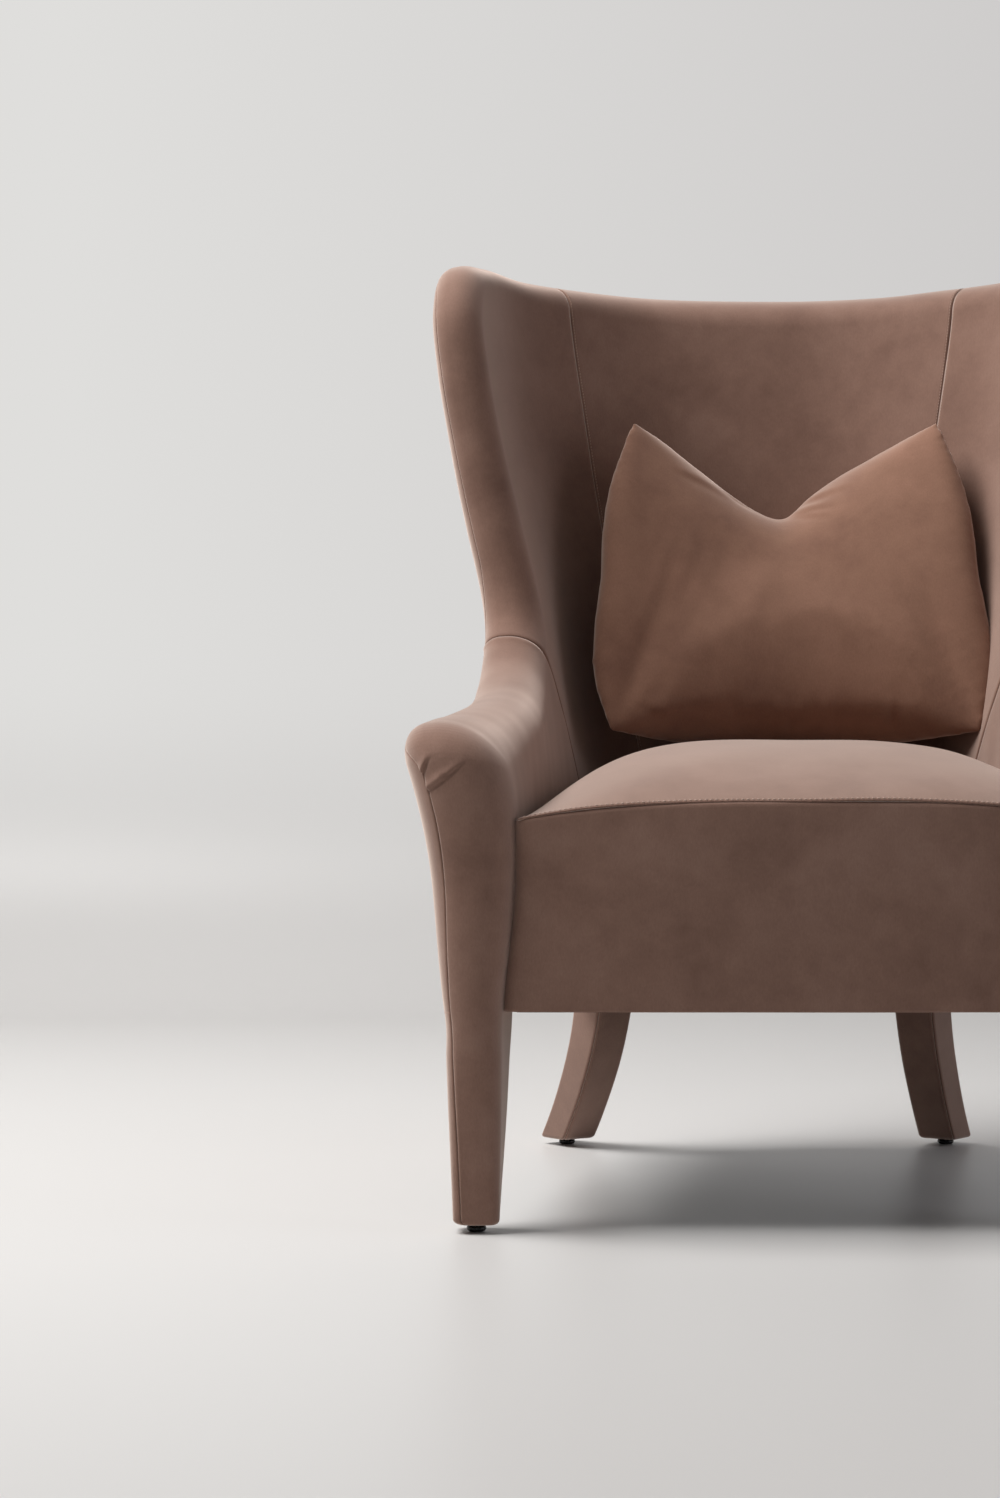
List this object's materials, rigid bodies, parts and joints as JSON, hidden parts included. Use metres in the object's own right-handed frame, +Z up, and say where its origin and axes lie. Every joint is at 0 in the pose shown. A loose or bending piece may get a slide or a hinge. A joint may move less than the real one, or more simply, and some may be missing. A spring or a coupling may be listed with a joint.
{
  "type": "wingback chair",
  "caption": "Upholstered wingback armchair with flared arms, tight crowned seat, velvet-covered legs and a loose square scatter cushion that leans on the back.",
  "frame": {"origin": "on the floor, under the middle of the chair's outline", "axes": "+X to the right of someone who faces the chair, +Y from the front of the seat to the back, +Z up"},
  "size_m": [0.826, 0.7958, 1.0539],
  "materials": {
    "velvet": "cut velvet, dusky rose brown",
    "cushion_velvet": "cut velvet, dusky rose brown",
    "frame_wood": "planed hardwood, unfinished",
    "foam": "open-cell seat foam",
    "wadding": "polyester wadding",
    "webbing": "woven elastic webbing",
    "burlap": "coarse jute",
    "dust_cloth": "black spunbonded cloth",
    "steel": "zinc-plated",
    "spring_steel": "oiled spring wire",
    "glide_plastic": "moulded, glossy black"
  },
  "bodies": {
    "chair": {"front_post_left": "frame_wood", "front_post_right": "frame_wood", "rear_leg_left": "frame_wood", "rear_leg_right": "frame_wood", "front_rail": "frame_wood", "back_rail": "frame_wood", "side_rail_left": "frame_wood", "side_rail_right": "frame_wood", "front_corner_block_left": "frame_wood", "front_corner_block_right": "frame_wood", "rear_corner_block_left": "frame_wood", "rear_corner_block_right": "frame_wood", "front_corner_screw_left": "steel", "front_corner_screw_right": "steel", "rear_corner_screw_left": "steel", "rear_corner_screw_right": "steel", "back_post_left": "frame_wood", "back_post_right": "frame_wood", "crest_rail": "frame_wood", "lower_back_rail": "frame_wood", "arm_rail_left": "frame_wood", "arm_rail_right": "frame_wood", "wing_frame_left": "frame_wood", "wing_frame_right": "frame_wood", "seat_spring_1": "spring_steel", "seat_spring_2": "spring_steel", "seat_spring_3": "spring_steel", "seat_spring_4": "spring_steel", "back_webbing_1": "webbing", "back_webbing_2": "webbing", "back_webbing_3": "webbing", "seat_burlap": "burlap", "seat_foam": "foam", "arm_pad_left": "wadding", "arm_pad_right": "wadding", "wing_pad_left": "wadding", "wing_pad_right": "wadding", "back_pad": "wadding", "seat_cover": "velvet", "seat_front_border": "velvet", "inside_back": "velvet", "inside_wing_left": "velvet", "inside_wing_right": "velvet", "inside_arm_left": "velvet", "inside_arm_right": "velvet", "outside_panel_left": "velvet", "outside_panel_right": "velvet", "outside_back": "velvet", "front_leg_cover_left": "velvet", "front_leg_cover_right": "velvet", "rear_leg_cover_left": "velvet", "rear_leg_cover_right": "velvet", "dust_cover": "dust_cloth", "front_glide_left": "glide_plastic", "front_glide_right": "glide_plastic", "rear_glide_left": "glide_plastic", "rear_glide_right": "glide_plastic"},
    "cushion": {"cushion_cover_front": "cushion_velvet", "cushion_cover_back": "cushion_velvet", "cushion_filling": "wadding"}
  },
  "joints": [
    {"name": "cushion_lift", "type": "slide", "parent": "chair", "child": "cushion", "axis": [0, 0, 1], "range_m": [0, 0.7]}
  ]
}
